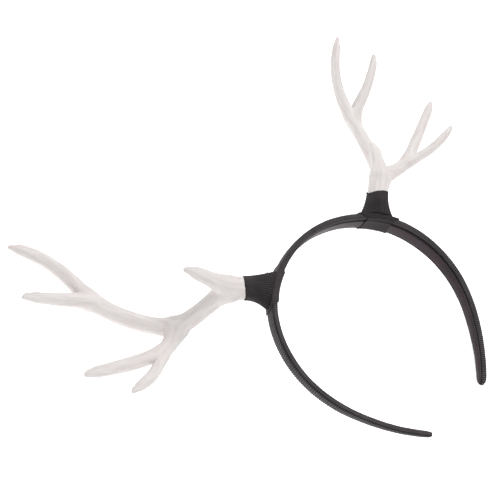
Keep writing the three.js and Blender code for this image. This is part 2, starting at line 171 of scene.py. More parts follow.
def hoopAt(lengths):
    # centreline of the hoop, with the directions away from its middle, out of the strip and to its back edge
    lengths = np.asarray(lengths, dtype=float)
    side = np.where(lengths < 0, -1.0, 1.0)
    left = np.abs(lengths)
    turned = np.zeros_like(left)
    x = np.zeros_like(left)
    z = np.zeros_like(left)
    lastArc = len(hoopShape["arcs"]) - 1
    for order, (share, sweep) in enumerate(hoopShape["arcs"]):
        radius = share * hoopShape["halfWidth"]
        most = math.radians(sweep) if order < lastArc else math.inf
        turn = np.clip(left / radius, 0, most)
        x += radius * (np.sin(turned + turn) - np.sin(turned))
        z += radius * (np.cos(turned + turn) - np.cos(turned))
        turned += turn
        left = left - turn * radius
    zero = np.zeros_like(x)
    away = np.stack([side * np.sin(turned), zero, np.cos(turned)], axis=-1)
    share = np.abs(lengths) / hoopHalfLength
    twist = smoothStep(share, hoopShape["twistFrom"], hoopShape["twistTo"]) * math.radians(hoopShape["twist"])
    back = np.array([0.0, 1.0, 0.0])
    cosine, sine = np.cos(twist)[..., None], np.sin(twist)[..., None]
    point = np.stack([side * x, zero, z], axis=-1)
    return point, away, away * cosine + back * sine, back * cosine - away * sine


def besideHoop(lengths, rings):
    # rings of (across, out) points round the strip, as points
    point, _, outward, back = hoopAt(lengths)
    return point[:, None] + outward[:, None] * rings[..., 1:2] + back[:, None] * rings[..., 0:1]


def hoopWidthAt(lengths):
    share = np.abs(lengths) / hoopHalfLength
    return hoopShape["width"] + (hoopShape["endWidth"] - hoopShape["width"]) * share * share


def hoopThicknessAt(lengths):
    share = np.abs(lengths) / hoopHalfLength
    return hoopShape["thickness"] + (hoopShape["endThickness"] - hoopShape["thickness"]) * share * share


def tipAt(lengths):
    # share of the way through the hoop's tip, with the shares of width and thickness left there
    body = hoopHalfLength - hoopShape["tipLength"]
    along = np.clip((np.abs(lengths) - body) / hoopShape["tipLength"], 0, 1)
    places, widths, thicknesses = np.array(hoopShape["tip"]).T
    return along, np.interp(along, places, widths), np.interp(along, places, thicknesses)


def hoopSection(width, thickness):
    # domed on the outer face, with a hem on each side of the channel on the inner face
    half = width / 2
    outer = thickness / 2
    front = -half * (1 - 2 * hoopShape["frontHem"])
    rear = half * (1 - 2 * hoopShape["backHem"])
    floor = -outer + hoopShape["channelDepth"] * (thickness / hoopShape["thickness"])
    shoulder = outer - hoopShape["dome"]
    crown = shoulder + hoopShape["dome"] * 0.75
    corners = [
        (-half, -outer * 0.55), (-half, shoulder * 0.55), (-half * 0.9, shoulder), (-half * 0.5, crown),
        (half * 0, outer), (half * 0.5, crown), (half * 0.9, shoulder), (half, shoulder * 0.55),
        (half, -outer * 0.55), (half * 0.96, -outer), (rear, -outer), (rear, floor),
        (front, floor), (front, -outer), (-half * 0.94, -outer),
    ]
    return np.stack([np.stack(corner, axis=-1) for corner in corners], axis=1)


def ribs(place, pitch):
    # rounded ribs with narrow grooves between them, from 0 in a groove to 1 on a rib
    return np.abs(np.cos(np.pi * place / pitch)) ** hoopShape["ribPower"]


def makeHoop(material):
    step = hoopShape["ribPitch"] / hoopShape["samplesPerRib"]
    lengths = np.linspace(-hoopHalfLength, hoopHalfLength, int(2 * hoopHalfLength / step))
    along, narrowed, thinned = tipAt(lengths)
    section = hoopSection(hoopWidthAt(lengths) * narrowed, hoopThicknessAt(lengths) * thinned)
    rings = cutCorners(section, 1)
    normals = ringNormals(rings)
    slant = hoopShape["ribSlant"] * (rings[..., 0] + rings[..., 1])
    wander = hoopShape["ribWander"] * waver(lengths / hoopShape["wanderLength"], seed=3)
    place = lengths[:, None] + slant + wander[:, None]
    rib = ribs(place, hoopShape["ribPitch"])
    # the left arm's front fold is pressed flat; painted shade darkens it and the crease beside it
    pressed = smoothStep(-lengths / hoopHalfLength, hoopShape["pressedFrom"], hoopShape["pressedTo"])[:, None]
    fold, crease, channel = hoopShape["fold"], hoopShape["crease"], hoopShape["channel"]
    rib[:, fold] = 1 - (1 - rib[:, fold]) * (1 - hoopShape["foldFlat"] * pressed)
    height = hoopShape["ribHeight"] * (rib - hoopShape["ribMiddle"])
    height = height + hoopShape["lumps"] * waver(lengths / hoopShape["lumpLength"], seed=4)[:, None]
    rings = rings + normals * height[..., None]
    points = lay(besideHoop(lengths, rings).reshape(-1, 3))
    # no light reaches into the channel, but for its ends in the tips
    channelEnd = smoothStep(along, hoopShape["channelEndFrom"], hoopShape["channelEndTo"])
    rib[:, channel] = hoopShape["channelEnd"] * channelEnd[:, None]
    # painted shade in the crease beside the pressed fold, and on the fold itself
    rib[:, crease] = rib[:, crease] * (1 - hoopShape["creasePaintedShade"] * pressed)
    rib[:, fold] = rib[:, fold] * (1 - hoopShape["foldPaintedShade"] * pressed)
    weave = np.stack([place, rings[..., 0], rings[..., 1]], axis=-1).reshape(-1, 3)
    faces = gridFaces(len(lengths), rings.shape[1], False, True)
    obj = meshObject("hoop_ribbon", points, faces, material, {"weave": weave, "rib": rib.ravel()})
    return faceOutward(obj)


# Lining

liningShape = {
    "gap": 0.3, "thickness": 1.0, "setback": 0.7, "step": 0.8, "frontGap": 0.3, "backGap": 0.05,
    "crown": 0.22, "tuck": 0.55, "tuckWidth": 0.15, "shadowFrom": 0.05, "shadowTo": 0.13,
    "edgeWander": 0.07, "lumps": 0.1, "creases": 0.05,
    # shares across it, closer together in the tuck beside the front hem
    "across": np.concatenate([np.linspace(0, 0.16, 7), np.linspace(0.22, 1, 10)]),
}


def liningSection(lengths):
    # its front and rear edges, and its faces towards the hoop and towards the head
    half = hoopWidthAt(lengths) / 2
    front = -half * (1 - 2 * hoopShape["frontHem"]) + liningShape["frontGap"]
    rear = half * (1 - 2 * hoopShape["backHem"]) - liningShape["backGap"]
    thickness = hoopThicknessAt(lengths)
    depth = hoopShape["channelDepth"] * thickness / hoopShape["thickness"]
    top = -thickness / 2 + depth - liningShape["gap"]
    return front, rear, top, top - liningShape["thickness"]


def makeLining(material):
    end = hoopHalfLength - liningShape["setback"]
    lengths = np.linspace(-end, end, int(2 * end / liningShape["step"]))
    front, rear, top, bottom = liningSection(lengths)
    # it narrows with the hoop's tips, so that it runs on almost to their ends
    _, narrowed, thinned = tipAt(lengths)
    front = front * narrowed + liningShape["edgeWander"] * waver(lengths / 2.1, seed=11)
    rear = rear * narrowed + liningShape["edgeWander"] * waver(lengths / 2.4, seed=12)
    top = top * thinned
    lower = bottom * thinned + liningShape["lumps"] * waver(lengths / 6, seed=13)
    under = []
    shade = []
    for share in liningShape["across"]:
        a = 2 * share - 1
        crease = liningShape["creases"] * waver(lengths / 9 + 2 * a, seed=14) * (1 - a * a)
        tuck = liningShape["tuck"] * (1 - smoothStep(share, 0, liningShape["tuckWidth"]))
        rolled = liningShape["crown"] * (a ** 6 + 0.8 * a * a) + tuck
        under.append(np.stack([front + (rear - front) * share, lower + rolled + crease], axis=-1))
        shade.append(smoothStep(share, liningShape["shadowFrom"], liningShape["shadowTo"]))
    over = [np.stack([rear, top], axis=-1), np.stack([front, top], axis=-1)]
    rings = np.stack(under + over, axis=1)
    shade = np.broadcast_to(np.array(shade + [0, 0]), rings.shape[:2])
    points = lay(besideHoop(lengths, rings).reshape(-1, 3))
    place = np.broadcast_to(lengths[:, None], rings.shape[:2])
    weave = np.stack([place, rings[..., 0], rings[..., 1]], axis=-1).reshape(-1, 3)
    faces = gridFaces(len(lengths), rings.shape[1], False, True)
    obj = meshObject("lining_satin", points, faces, material, {"weave": weave, "rib": shade.ravel()})
    return faceOutward(obj)


# Wraps

wrapShape = {
    "gap": 0.06, "thickness": 0.42, "outerLength": 27, "innerLength": 17, "innerPull": 0.985, "steps": 130,
    "rounding": 0.45, "roundingPower": 30, "groove": 0.42, "grooveAt": 0.50, "grooveWidth": 0.36,
    "ribHeight": 0.44, "ribbed": {"left": 0.15, "right": 1.0}, "innerRibs": 0.25,
    "sidesFrom": 0.3, "sidesTo": 0.9, "lumps": 0.05, "seed": {"left": 21, "right": 22},
}
antlerPlace = 0.273 * hoopHalfLength
wrapTop = hoopShape["thickness"] / 2 + wrapShape["gap"] + wrapShape["thickness"]


def wrapOutline(lengths, extra):
    # a rounded box round hoop and lining, a little domed on its outer face
    half = hoopWidthAt(lengths) / 2 + wrapShape["gap"] + extra
    top = hoopThicknessAt(lengths) / 2 + wrapShape["gap"] + extra
    bottom = liningSection(lengths)[3] - wrapShape["gap"] - extra
    middle, tall = (top + bottom) / 2, (top - bottom) / 2
    corners = [
        (1, -0.45), (1, 0.45), (0.9, 0.86), (0.5, 1), (0, 1.04), (-0.5, 1), (-0.9, 0.86), (-1, 0.45),
        (-1, -0.45), (-0.92, -0.94), (-0.8, -1), (-0.5, -1), (0, -1), (0.5, -1), (0.92, -0.94),
    ]
    return np.stack([np.stack([half * a, middle + tall * b], axis=-1) for a, b in corners], axis=1)


def makeWrap(side, place, material):
    shares = np.linspace(-1, 1, wrapShape["steps"])[:, None]
    middle = np.full(len(shares), float(place))
    walls = []
    for extra, pull in ((wrapShape["thickness"], 1.0), (0.0, wrapShape["innerPull"])):
        rings = cutCorners(wrapOutline(middle, extra), 2)
        outs = rings[..., 1]
        low, high = outs.min(), outs.max()
        # shorter on the inner face than on the outer one
        longer = wrapShape["outerLength"] - wrapShape["innerLength"]
        reach = wrapShape["innerLength"] + (outs - low) / (high - low) * longer
        lengths = place + shares * reach / 2 * pull
        if extra:
            normals = ringNormals(rings)
            sides = smoothStep(outs, low + wrapShape["sidesFrom"], low + wrapShape["sidesTo"])
            slanted = lengths + hoopShape["ribSlant"] * (rings[..., 0] + outs)
            strength = wrapShape["innerRibs"] + (1 - wrapShape["innerRibs"]) * sides
            rib = 1 - (1 - ribs(slanted, hoopShape["ribPitch"])) * strength * wrapShape["ribbed"][side]
            height = wrapShape["ribHeight"] * (rib - hoopShape["ribMiddle"])
            # a groove on the inner face, where the ribbon's edge lies, with painted shade in it
            fromGroove = rings[..., 0] - wrapShape["grooveAt"] * rings[..., 0].min()
            groove = np.exp(-(fromGroove / wrapShape["grooveWidth"]) ** 2) * (1 - sides)
            height = height - wrapShape["groove"] * groove
            # painted shade darkens the groove
            rib = rib * (1 - groove)
            rounding = wrapShape["thickness"] * wrapShape["rounding"]
            height = height - rounding * np.abs(shares) ** wrapShape["roundingPower"]
            lumps = waver(lengths / 3 + rings[..., 0], wrapShape["seed"][side])
            height = height + wrapShape["lumps"] * lumps
            rings = rings + normals * height[..., None]
        point, _, outward, back = hoopAt(lengths)
        walls.append(point + outward * rings[..., 1:2] + back * rings[..., 0:1])
    points = np.concatenate([walls[0], walls[1][::-1]])
    # both walls take the place of their threads from the inner one
    alongHoop = np.concatenate([lengths, lengths[::-1]])
    acrossHoop = np.concatenate([rings[..., 0]] * 2)
    weave = np.stack([alongHoop, acrossHoop, np.zeros_like(alongHoop)], axis=-1).reshape(-1, 3)
    marks = {"weave": weave, "rib": np.concatenate([rib, rib]).ravel()}
    faces = gridFaces(points.shape[0], points.shape[1], True, False)
    obj = meshObject("wrap_ribbon_" + side, lay(points.reshape(-1, 3)), faces, material, marks)
    return faceOutward(obj)


# Antler's own directions, and the centrelines of its branches

antlerShape = {
    "length": 154, "beamRadius": 4.0, "steps": 8,
    "set": {  # degrees; the mouth's slant and tilt are shares of the sleeve's reach
        "left": {
            "mirror": -1, "lean": 28.7, "nod": 0, "turn": 0, "size": 1.0, "browBend": (0, 0),
            "reach": 17.2, "mouthSlant": 0.18, "mouthTilt": 0.06,
        },
        "right": {
            "mirror": 1, "lean": 14, "nod": 12, "turn": -21, "size": 1.06, "browBend": (-11, 12),
            "reach": 17.1, "mouthSlant": 0.025, "mouthTilt": 0.11,
        },
    },
    "branches": {  # grown from, length share, heading, curl, lift, sweep, radii from root to tip
        "stem": (None, 0.174, 2, -6, -6, -6, (1.24, 1.30, 1.38, 1.36, 1.56)),
        "lowBeam": ("stem", 0.215, -22, 14, 52, 0, (1.54, 1.02, 0.95, 1.01, 1.26)),
        "highBeam": ("lowBeam", 0.297, 28.5, 22, 6, -22, (1.18, 0.96, 0.94, 0.93, 1.06)),
        "topTine": ("highBeam", 0.311, 26.5, -58, -25, -4, (0.94, 0.78, 0.68, 0.64, 0.46)),
        "outerTine": ("highBeam", 0.256, -9.5, 31, -27, 28, (1.04, 0.80, 0.67, 0.57, 0.50)),
        "rearLink": ("lowBeam", 0.115, -48, 20, -9, 5, (1.26, 1.14, 0.96, 0.88, 0.92)),
        "midTine": ("rearLink", 0.273, -12.5, 5, -10, -17, (0.89, 0.74, 0.71, 0.62, 0.50)),
        "lowTine": ("rearLink", 0.220, -42, 39, -21, 6, (0.82, 0.60, 0.57, 0.54, 0.40)),
        "browTine": ("stem", 0.138, 26.5, 6, -6.5, 24, (1.46, 1.10, 0.80, 0.74, 0.52)),
    },
}


def turnAbout(vector, axis, degrees):
    turn = Quaternion(Vector(axis), math.radians(degrees))
    return np.array(turn @ Vector(vector))


def antlerFrame(side):
    # where the antler is seated on the hoop, and the directions that it and its sleeve grow in
    setting = antlerShape["set"][side]
    mirror = setting["mirror"]
    point, away, outward, across = (v[0] for v in hoopAt([mirror * antlerPlace]))
    towardsCrown = np.array([-mirror * away[2], 0, mirror * away[0]])
    c, s = math.cos(math.radians(setting["lean"])), math.sin(math.radians(setting["lean"]))
    sideways = (1.0, 0.0, 0.0)
    along = turnAbout(away * c - towardsCrown * s, sideways, setting["nod"])
    level = turnAbout(towardsCrown * c + away * s, sideways, setting["nod"])
    sleeveBack = turnAbout((0.0, 1.0, 0.0), sideways, setting["nod"])
    up = turnAbout(level, along, mirror * setting["turn"])
    back = turnAbout(sleeveBack, along, mirror * setting["turn"])
    return {
        "seat": point, "outward": outward, "across": across, "towardsCrown": towardsCrown,
        "along": along, "up": up, "back": back, "sleeveBack": sleeveBack, **setting,
    }


def branchPaths(axes):
    # centreline and radii of each branch, as worn
    paths = {}
    for name, (parent, length, heading, curl, lift, sweep, radii) in antlerShape["branches"].items():
        points = [paths[parent][0][-1] if parent else axes["seat"]]
        step = length * antlerShape["length"] * axes["size"] / antlerShape["steps"]
        if name == "browTine":
            heading, lift = heading + axes["browBend"][0], lift + axes["browBend"][1]
        for i in range(antlerShape["steps"]):
            share = (i + 0.5) / antlerShape["steps"] - 0.5
            h, v = math.radians(heading + curl * share), math.radians(lift + sweep * share)
            ahead = axes["along"] * math.cos(v) * math.cos(h) + axes["up"] * math.cos(v) * math.sin(h)
            points.append(points[-1] + step * (ahead + axes["back"] * math.sin(v)))
        shares = np.linspace(0, 1, antlerShape["steps"] + 1)
        radius = antlerShape["beamRadius"] * np.interp(shares, np.linspace(0, 1, len(radii)), radii)
        paths[name] = (np.array(points), radius)
    return paths


# Antlers

antlerLook = {
    "voxel": 0.62, "facetRounds": 8, "facetPush": 0.52, "forkReach": 10.5, "forkRounds": 100,
    "forkPush": 0.48, "swell": 0.52, "swellOver": 3,
    "webRounds": 170, "webReach": 15.0, "webCore": 0.6, "webGive": 0.02, "filledFrom": 0.4,
    "webs": {"stem": 0.12, "lowBeam": 0.22, "highBeam": 1.0, "rearLink": 0.25},
    "lineSamples": 60, "chunk": 4000, "farOff": 99.0, "grainRadius": 4, "blend": 0.6, "grainRounds": 90,
    "tipLength": 5.0, "tipThin": 0.26, "topTipThin": 0.34, "topTipReach": 20, "tipSlant": 0.7,
    "parting": 0.15, "partingWidth": 0.16, "partingUpper": 0.4, "ripple": 0.09, "dents": 0.05,
    "reliefRounds": 30,
}


def neighbourMean(edges, count):
    # sparse averaging over each vertex's neighbours
    degree = np.bincount(edges.ravel(), minlength=count).astype(float)[:, None]

    def mean(values):
        total = np.zeros_like(values)
        np.add.at(total, edges[:, 0], values[edges[:, 1]])
        np.add.at(total, edges[:, 1], values[edges[:, 0]])
        return total / degree
    return mean


def vertexNormals(points, triangles):
    a, b, c = points[triangles[:, 0]], points[triangles[:, 1]], points[triangles[:, 2]]
    face = np.cross(b - a, c - a)
    normals = np.zeros_like(points)
    for corner in range(3):
        np.add.at(normals, triangles[:, corner], face)
    return unit(normals + 1e-12)


def relax(points, mean, push, rounds, where=1.0):
    # pulls towards the neighbours' mean and pushes back, which smooths without thinning
    for _ in range(rounds):
        points = points + 0.5 * where * (mean(points) - points)
        points = points - push * where * (mean(points) - points)
    return points


def blend(values, mean, rounds, where):
    for _ in range(rounds):
        values = values + antlerLook["blend"] * where * (mean(values) - values)
    return values


def skinSolid(name, source, material):
    # a closed skin of small even faces round a CAD solid; its points are in mm
    obj = bpy.data.objects.new(name, source.data.copy())
    bpy.context.scene.collection.objects.link(obj)
    remesh = obj.modifiers.new("skin", "REMESH")
    remesh.mode = "VOXEL"
    remesh.voxel_size = antlerLook["voxel"] * millimetre
    remesh.use_smooth_shade = True
    bpy.context.view_layer.update()
    mesh = bpy.data.meshes.new_from_object(obj.evaluated_get(bpy.context.evaluated_depsgraph_get()))
    obj.modifiers.clear()
    obj.data = mesh
    mesh.materials.clear()
    mesh.materials.append(material)
    mesh.calc_loop_triangles()
    points = np.empty(len(mesh.vertices) * 3)
    mesh.vertices.foreach_get("co", points)
    edges = np.empty(len(mesh.edges) * 2, dtype=np.int64)
    mesh.edges.foreach_get("vertices", edges)
    triangles = np.empty(len(mesh.loop_triangles) * 3, dtype=np.int64)
    mesh.loop_triangles.foreach_get("vertices", triangles)
    return obj, points.reshape(-1, 3) / millimetre, edges.reshape(-1, 2), triangles.reshape(-1, 3)


def branchLines(paths):
    # close samples of every branch: where, how thick, which way, how far from the seat and to the tip
    parents = {branch[0] for branch in antlerShape["branches"].values()}
    fine = np.linspace(0, 1, antlerLook["lineSamples"])
    farOff = np.full(len(fine), antlerLook["farOff"])
    ends = {None: 0.0}
    lines = {"spot": [], "radius": [], "along": [], "ahead": [], "toTopTip": [], "toTip": []}
    for name, (path, radius) in paths.items():
        coarse = np.linspace(0, 1, len(path))
        flat = laidFlat(path)
        spot = np.stack([np.interp(fine, coarse, flat[:, k]) for k in range(3)], axis=-1)
        travel = np.concatenate([[0], np.cumsum(np.linalg.norm(np.diff(spot, axis=0), axis=1))])
        fromSeat = ends[antlerShape["branches"][name][0]]
        ends[name] = fromSeat + travel[-1]
        lines["spot"].append(spot)
        lines["radius"].append(np.interp(fine, coarse, radius))
        lines["along"].append(fromSeat + travel)
        lines["ahead"].append(unit(np.gradient(spot, axis=0)))
        lines["toTopTip"].append(travel[-1] - travel if name == "topTine" else farOff)
        lines["toTip"].append(travel[-1] - travel if name not in parents else farOff)
    return {label: np.concatenate(parts) for label, parts in lines.items()}


def nearestOnLines(points, lines):
    # what the lines say at the sample nearest to each point, by the branch's surface
    nearest = np.empty(len(points), dtype=np.int64)
    for start in range(0, len(points), antlerLook["chunk"]):
        end = start + antlerLook["chunk"]
        apart = np.linalg.norm(points[start:end, None] - lines["spot"][None], axis=2)
        nearest[start:end] = (apart - lines["radius"][None]).argmin(axis=1)
    return {label: values[nearest] for label, values in lines.items()}


def fillWebs(points, normals, mean, web):
    # fills the crotches of the forks and nothing else: points move outward only, or almost so
    filled = points
    for _ in range(antlerLook["webRounds"]):
        out = dots(0.5 * (mean(filled) - filled), normals)
        out = np.where(out > 0, out, out * antlerLook["webGive"]) * web
        filled = filled + normals * out[:, None]
    return filled


def makeAntler(side, material):
    name = "antler_plastic_" + side
    obj, points, edges, triangles = skinSolid(name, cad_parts["antler_" + side], material)
    mean = neighbourMean(edges, len(points))
    axes = antlerFrame(side)
    paths = branchPaths(axes)

    # one moulding: no facets, and no seam where its branches meet
    points = relax(points, mean, antlerLook["facetPush"], antlerLook["facetRounds"])
    forks = laidFlat(np.array([paths[branch][0][-1] for branch in antlerLook["webs"]]))
    toForks = np.linalg.norm(points[:, None] - forks[None], axis=2)
    apart = toForks.min(axis=1)
    nearFork = np.exp(-(apart / antlerLook["forkReach"]) ** 2)[:, None]
    points = relax(points, mean, antlerLook["forkPush"], antlerLook["forkRounds"], nearFork)

    # the skin swells to the photo's thickness outside the sleeve, and webs fill the forks
    fromSeat = np.linalg.norm(points - laidFlat(axes["seat"]), axis=1)
    swellFrom, swellTo = axes["reach"] - antlerLook["swellOver"], axes["reach"] + antlerLook["swellOver"]
    swell = antlerLook["swell"] * smoothStep(fromSeat, swellFrom, swellTo)
    points = points + vertexNormals(points, triangles) * swell[:, None]
    web = np.array(list(antlerLook["webs"].values()))[toForks.argmin(axis=1)]
    web = web * (1 - smoothStep(apart, antlerLook["webCore"] * antlerLook["webReach"], antlerLook["webReach"]))
    normals = vertexNormals(points, triangles)
    unfilled = points
    points = fillWebs(points, normals, mean, web)
    filled = dots(points - unfilled, normals)

    # the grain runs along each branch and flows from one into the next
    at = nearestOnLines(points, branchLines(paths))
    ahead = at["ahead"]
    offset = points - at["spot"]
    offset = offset - ahead * dots(offset, ahead)[:, None]
    back = unit(laidTurn @ axes["back"])
    backward = unit(back - ahead * (ahead @ back)[:, None])
    sideward = np.cross(ahead, backward)
    offSide = dots(offset, sideward)
    around = np.arctan2(offSide, dots(offset, backward))
    radius = antlerLook["grainRadius"]
    grain = np.stack([np.cos(around) * radius, np.sin(around) * radius, at["along"]], axis=-1)
    grain = blend(grain, mean, antlerLook["grainRounds"], nearFork)

    # the tines narrow to a chisel end, cut at a slant
    nearTip = 1 - smoothStep(at["toTip"], 0, antlerLook["tipLength"])
    slant = offSide / at["radius"] * nearTip ** 2
    onTopTine = at["toTopTip"] < antlerLook["topTipReach"]
    thin = np.where(onTopTine, antlerLook["topTipThin"], antlerLook["tipThin"])
    points = points - offset * (thin * nearTip ** 1.5)[:, None]
    points = points + ahead * (antlerLook["tipSlant"] * slant)[:, None]

    # the mould's parting line, stronger on the lower side, and an uneven surface
    normals = vertexNormals(points, triangles)
    lower = (offSide > 0).astype(float)
    ridge = np.exp(-((normals @ back) / antlerLook["partingWidth"]) ** 2)
    ridge = ridge * (antlerLook["partingUpper"] + (1 - antlerLook["partingUpper"]) * lower)
    ripple = antlerLook["ripple"] * waver(at["along"] / 6 + np.cos(around), seed=31)
    dents = antlerLook["dents"] * waver(around * 2 + at["along"] / 11, seed=32)
    relief = (ridge * antlerLook["parting"] + (ripple + dents))[:, None]
    points = points + normals * blend(relief, mean, antlerLook["reliefRounds"], nearFork)

    mesh = obj.data
    mesh.vertices.foreach_set("co", (points * millimetre).ravel())
    # painted shade in the forks, as much as the webs filled them
    shaded = np.clip(filled - antlerLook["filledFrom"], 0, 1)
    storeMarks(mesh, {"grain": grain, "fork": shaded, "tipPlace": at["toTopTip"]})
    mesh.shade_smooth()
    mesh.update()
    return obj


# Sleeves

sleeveShape = {
    "wall": 0.5, "footLength": 22, "footOverhang": 0.05, "footSink": 0.05, "footDrop": 0.5,
    "waist": 0.42, "gap": 0.05, "angles": 368, "rows": 40, "lipOut": 0.18, "lipRibs": 0.3,
    "ribCount": 44, "ribHeight": {"left": 0.26, "right": 0.52}, "ribMiddle": 0.55,
    "ribFade": 0.55, "fadeFrom": 0.3, "fadeTo": 0.95, "ribEven": 4, "ribEvenAcross": 6,
    "ribStrength": 0.8, "ribUneven": 0.25, "mouthAhead": 4, "radiusAhead": 2,
    "ragged": 0.10, "raggedFrom": 0.8, "weaveRadius": 8, "seed": {"left": 41, "right": 47},
    "frays": {  # place round the sleeve in degrees, share of its length, length of the threads in mm
        "left": [(8, 0.16, 1.6), (176, 0.99, 1.3)],
        "right": [(2, 0.97, 1.9)],
    },
}
threadShape = {
    "count": 14, "rows": 4, "corners": 4, "radius": 0.28, "taper": 0.7, "spread": 0.3, "sink": 0.25,
    "leanLeast": 0.1, "leanMost": 1.0, "shortest": 0.55, "bendFrom": 0.3, "bendBy": 0.9, "sideShift": 0.8,
}


def sleeveMouth(axes, paths):
    # middle, direction and radius of the stem where the sleeve ends
    path, radius = paths["stem"]
    far = np.linalg.norm(path - axes["seat"], axis=1)
    point = np.array([np.interp(axes["reach"], far, path[:, k]) for k in range(3)])
    ahead = axes["reach"] + sleeveShape["mouthAhead"]
    after = np.array([np.interp(ahead, far, path[:, k]) for k in range(3)])
    return point, unit(after - point), np.interp(axes["reach"] + sleeveShape["radiusAhead"], far, radius)


def growThreads(root, out, direction, length, seed):
    # a few cut threads, each a thin tapering tube that bends as it leaves the cloth
    rng = np.random.default_rng(seed)
    sideways = unit(np.cross(out, direction))
    spread = threadShape["spread"]
    threads = []
    for _ in range(threadShape["count"]):
        side = sideways * rng.uniform(-spread, spread)
        lean = direction * rng.uniform(threadShape["leanLeast"], threadShape["leanMost"]) + side
        start = root + side * threadShape["sideShift"] + direction * rng.uniform(-spread, spread)
        start = start - out * threadShape["sink"]
        own = length * rng.uniform(threadShape["shortest"], 1.0)
        rings = []
        for row in range(threadShape["rows"]):
            share = row / (threadShape["rows"] - 1)
            bend = threadShape["bendFrom"] + threadShape["bendBy"] * share
            spot = start + own * share * unit(out + lean * bend)
            thick = threadShape["radius"] * (1 - threadShape["taper"] * share)
            for corner in range(threadShape["corners"]):
                turn = corner * 2 * math.pi / threadShape["corners"]
                rings.append(spot + thick * (math.cos(turn) * sideways + math.sin(turn) * direction))
        threads.append(np.array(rings))
    return threads


def makeThreads(side, sleevePoints, direction, material):
    threads = []
    for degrees, share, length in sleeveShape["frays"][side]:
        row = int(round(share * (sleeveShape["rows"] - 1)))
        column = int(round(degrees / 360 * sleeveShape["angles"])) % sleeveShape["angles"]
        root = sleevePoints[row, column]
        out = unit(root - sleevePoints[row].mean(axis=0))
        threads += growThreads(root, out, direction, length, sleeveShape["seed"][side] + column)
    rows, corners = threadShape["rows"], threadShape["corners"]
    faces = []
    for order in range(len(threads)):
        faces += gridFaces(rows, corners, False, True, order * rows * corners)
    return meshObject("loose_threads_" + side, lay(np.concatenate(threads)), faces, material)


def makeSleeve(side, material):
    axes = antlerFrame(side)
    place = axes["mirror"] * antlerPlace
    point, direction, radius = sleeveMouth(axes, branchPaths(axes))
    across = unit(axes["sleeveBack"] - direction * (axes["sleeveBack"] @ direction))
    along = unit(np.cross(across, direction))
    lengthwise = math.copysign(1, along @ axes["towardsCrown"])
    # the foot stands on the wrap where the antler's line crosses it
    height = wrapTop - sleeveShape["footSink"]
    crossing = axes["along"] * height / (axes["along"] @ axes["outward"])
    footPlace = place - axes["mirror"] * (crossing @ axes["towardsCrown"])
    angles = np.linspace(0, 2 * np.pi, sleeveShape["angles"], endpoint=False)
    long, wide = np.cos(angles), np.sin(angles)
    seed = sleeveShape["seed"][side]
    # the ribs are nearly as far apart all the way round the foot
    spacing = np.hypot(sleeveShape["footLength"] / 2 * wide, sleeveShape["ribEvenAcross"] * long)
    spacing = spacing + sleeveShape["ribEven"]
    ribbing = ribs(np.cumsum(spacing) / spacing.sum() * sleeveShape["ribCount"], 1.0)
    strengths = sleeveShape["ribStrength"] + sleeveShape["ribUneven"] * waver(angles * 5, seed)

    def wall(share, extra, ribbed):
        # one ring, from the long foot over the waist to the round mouth, with its rib shading
        footHalf = sleeveShape["footLength"] / 2 - sleeveShape["wall"] + extra
        footAcross = hoopWidthAt(place) / 2 + wrapShape["gap"] + wrapShape["thickness"]
        footAcross += sleeveShape["footOverhang"] - sleeveShape["wall"] + extra
        rib = sleeveShape["ribHeight"][side] * (ribbing - sleeveShape["ribMiddle"]) * ribbed * strengths
        beyond = footPlace - axes["mirror"] * (footHalf + rib) * long
        offAcross = (crossing @ axes["across"]) + (footAcross + rib) * wide
        offOut = height - sleeveShape["footDrop"] * np.abs(wide) ** 3
        spot, _, outward, back = hoopAt(beyond)
        foot = spot + outward * offOut[:, None] + back * offAcross[:, None]
        rimReach = (radius + sleeveShape["gap"] + extra + rib)[:, None]
        rim = point + along * lengthwise * long[:, None] * rimReach + across * wide[:, None] * rimReach
        ragged = sleeveShape["ragged"] * waver(angles * 9, seed + 1)
        ragged = ragged * smoothStep(share, sleeveShape["raggedFrom"], 1)
        cut = ragged - axes["reach"] * (axes["mouthSlant"] * wide + axes["mouthTilt"] * long)
        rim = rim + direction * cut[:, None]
        waist = rim - direction * axes["reach"] * sleeveShape["waist"]
        ring = foot * (1 - share) ** 2 + waist * 2 * share * (1 - share) + rim * share ** 2
        return ring, 1 - (1 - ribbing) * ribbed

    shares = np.linspace(0, 1, sleeveShape["rows"])
    fades = sleeveShape["ribFade"] * smoothStep(shares, sleeveShape["fadeFrom"], sleeveShape["fadeTo"])
    outer = [wall(share, sleeveShape["wall"], 1 - fade) for share, fade in zip(shares, fades)]
    lip, lipShade = wall(1.0, sleeveShape["wall"] * 0.5, sleeveShape["lipRibs"])
    inner = [wall(share, 0.0, 0.0) for share in shares[::-1]]
    rows = outer + [(lip + direction * sleeveShape["lipOut"], lipShade)] + inner
    points = np.array([row[0] for row in rows])
    shade = np.array([row[1] for row in rows])
    # painted shade on the rim, the lip and the sleeve's inner wall
    cutEdgeShade = np.zeros(points.shape[:2])
    cutEdgeShade[len(outer) - 1:] = 1
    lengths = np.concatenate([shares, [1.0], shares[::-1]]) * axes["reach"]
    girth = (angles * sleeveShape["weaveRadius"])[None]
    weave = np.stack(np.broadcast_arrays(lengths[:, None], girth, np.zeros((1, 1))), axis=-1).reshape(-1, 3)
    marks = {"weave": weave, "cutEdgeShade": cutEdgeShade.ravel(), "rib": shade.ravel()}
    faces = gridFaces(points.shape[0], points.shape[1], True, False)
    obj = meshObject("sleeve_ribbon_" + side, lay(points.reshape(-1, 3)), faces, material, marks)
    return faceOutward(obj), makeThreads(side, points, direction, material)


# Materials

def linear(code):
    # sRGB hex to linear
    channels = [int(code[i:i + 2], 16) / 255 for i in (0, 2, 4)]
    return tuple(c / 12.92 if c <= 0.04045 else ((c + 0.055) / 1.055) ** 2.4 for c in channels) + (1.0,)


